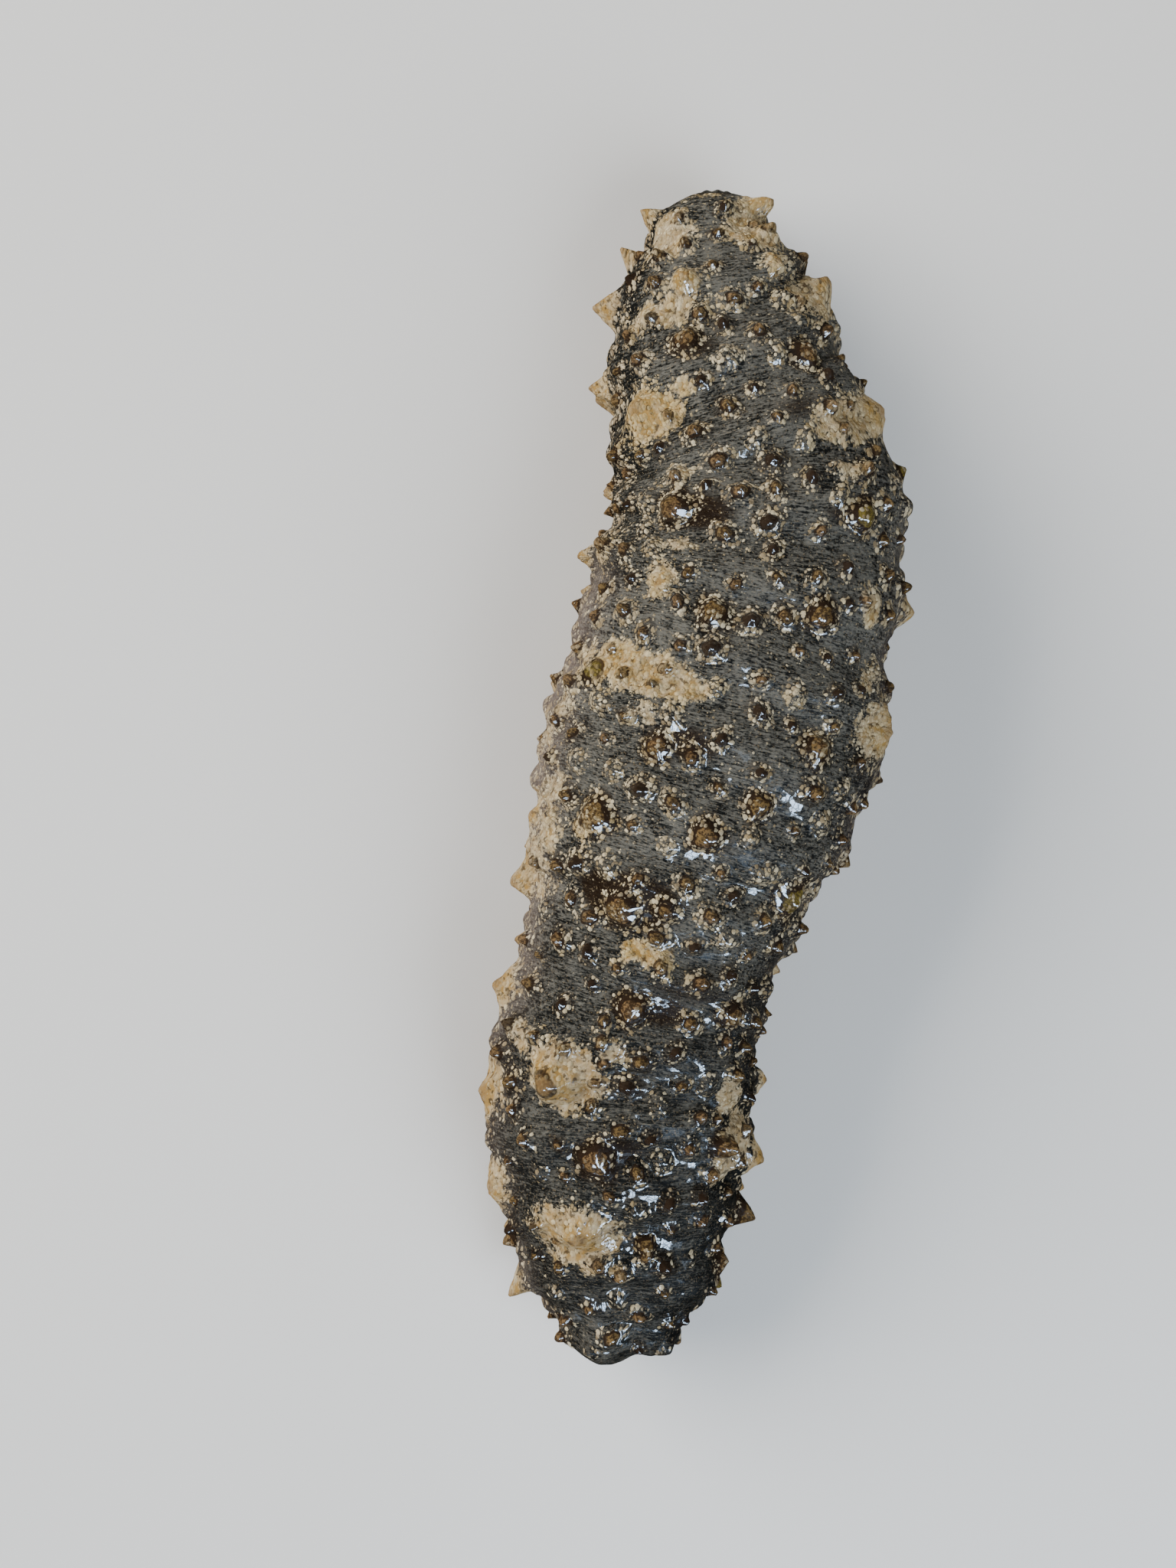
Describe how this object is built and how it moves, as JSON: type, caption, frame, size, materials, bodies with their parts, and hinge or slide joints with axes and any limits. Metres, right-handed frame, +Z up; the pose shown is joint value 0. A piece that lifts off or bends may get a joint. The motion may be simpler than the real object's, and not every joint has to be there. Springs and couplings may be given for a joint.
{
  "type": "sea cucumber model",
  "caption": "Life-size still model of a warty sea cucumber lying in a gentle S on its flat creeping sole, with a fringe of pointed papillae along each flank.",
  "frame": {"origin": "on the floor under the middle of the animal's bounding box", "axes": "+Y towards the tail end, -Y towards the head end, +X to the animal's left, +Z up through the back"},
  "size_m": [0.043, 0.1175, 0.0272],
  "materials": {
    "back_skin": "wet, soft, mottled skin",
    "end_skin": "wet, soft, mottled skin",
    "sole_skin": "moist, soft, paler skin",
    "tentacle_skin": "moist, soft skin"
  },
  "bodies": {
    "root": {"tail_end": "end_skin", "body_rear": "back_skin", "body_hind_middle": "back_skin", "body_middle": "back_skin", "body_fore_middle": "back_skin", "body_front": "back_skin", "head_end": "end_skin", "sole_rear": "sole_skin", "sole_middle": "sole_skin", "sole_front": "sole_skin", "mouth_tentacles": "tentacle_skin"}
  },
  "joints": []
}
